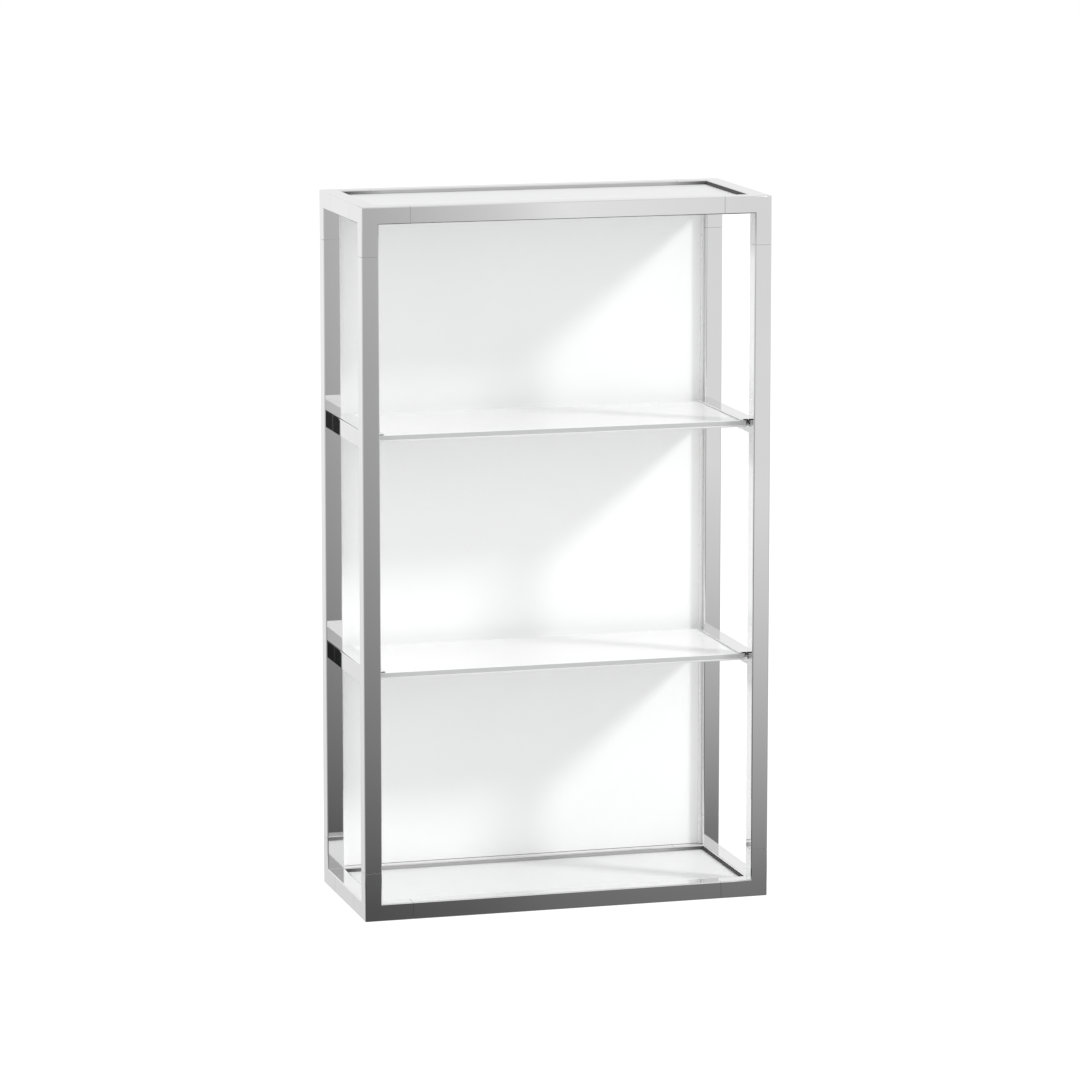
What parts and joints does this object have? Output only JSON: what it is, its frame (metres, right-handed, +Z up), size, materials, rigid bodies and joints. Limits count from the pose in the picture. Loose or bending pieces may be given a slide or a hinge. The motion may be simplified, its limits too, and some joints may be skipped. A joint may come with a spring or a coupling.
{
  "type": "wall mounted showcase",
  "caption": "Open wall showcase: chrome square-tube frame, white back, top and bottom panels, and white draw-out shelves on polished side rails.",
  "frame": {"origin": "middle of the footprint, on the underside of the bottom rails", "axes": "+X across the front to the viewer's right, +Y back into the wall, +Z up"},
  "size_m": [0.6, 0.255, 1.02],
  "materials": {
    "corner_chrome": "polished chrome plate on a zinc casting",
    "tube_chrome": "polished chrome plate on steel tube",
    "rail_polish": "polished folded steel sheet",
    "white_panel": "smooth white laminate, low sheen",
    "white_glass": "opaque white, gloss, polished edges",
    "white_trim": "white extruded bead, satin",
    "gasket_rubber": "grey to black rubber wedge round the top and bottom panels, modelled in the visual only",
    "aluminium": "mill-finish aluminium",
    "nylon": "white nylon",
    "steel": "zinc-plated steel"
  },
  "bodies": {
    "case": {"corner_bottom_front_left": "corner_chrome", "corner_bottom_front_right": "corner_chrome", "corner_bottom_back_left": "corner_chrome", "corner_bottom_back_right": "corner_chrome", "corner_top_front_left": "corner_chrome", "corner_top_front_right": "corner_chrome", "corner_top_back_left": "corner_chrome", "corner_top_back_right": "corner_chrome", "post_front_left": "tube_chrome", "post_front_right": "tube_chrome", "post_back_left": "tube_chrome", "post_back_right": "tube_chrome", "rail_bottom_front": "tube_chrome", "rail_bottom_back": "tube_chrome", "depth_rail_bottom_left": "tube_chrome", "depth_rail_bottom_right": "tube_chrome", "rail_top_front": "tube_chrome", "rail_top_back": "tube_chrome", "depth_rail_top_left": "tube_chrome", "depth_rail_top_right": "tube_chrome", "hanger_plate_left": "steel", "hanger_plate_right": "steel", "bottom_panel": "white_panel", "top_panel": "white_panel", "back_panel": "white_panel", "glazing_bead_left": "white_trim", "glazing_bead_right": "white_trim", "panel_ledge_bottom_front": "aluminium", "panel_ledge_bottom_back": "aluminium", "panel_ledge_bottom_left": "aluminium", "panel_ledge_bottom_right": "aluminium", "panel_ledge_top_front": "aluminium", "panel_ledge_top_back": "aluminium", "panel_ledge_top_left": "aluminium", "panel_ledge_top_right": "aluminium", "back_clip_lower_left": "steel", "shelf_rail_lower_left": "rail_polish", "shelf_glide_lower_left": "nylon", "rail_screw_lower_front_left": "steel", "rail_screw_lower_back_left": "steel", "back_clip_lower_right": "steel", "shelf_rail_lower_right": "rail_polish", "shelf_glide_lower_right": "nylon", "rail_screw_lower_front_right": "steel", "rail_screw_lower_back_right": "steel", "back_clip_upper_left": "steel", "shelf_rail_upper_left": "rail_polish", "shelf_glide_upper_left": "nylon", "rail_screw_upper_front_left": "steel", "rail_screw_upper_back_left": "steel", "back_clip_upper_right": "steel", "shelf_rail_upper_right": "rail_polish", "shelf_glide_upper_right": "nylon", "rail_screw_upper_front_right": "steel", "rail_screw_upper_back_right": "steel"},
    "lower_shelf": {"shelf_plate_lower": "white_glass", "shelf_tray_lower": "aluminium"},
    "upper_shelf": {"shelf_plate_upper": "white_glass", "shelf_tray_upper": "aluminium"}
  },
  "joints": [
    {"name": "upper_shelf_slide", "type": "slide", "parent": "case", "child": "upper_shelf", "axis": [0, -1, 0], "range_m": [0, 0.12]},
    {"name": "lower_shelf_slide", "type": "slide", "parent": "case", "child": "lower_shelf", "axis": [0, -1, 0], "range_m": [0, 0.12]}
  ]
}
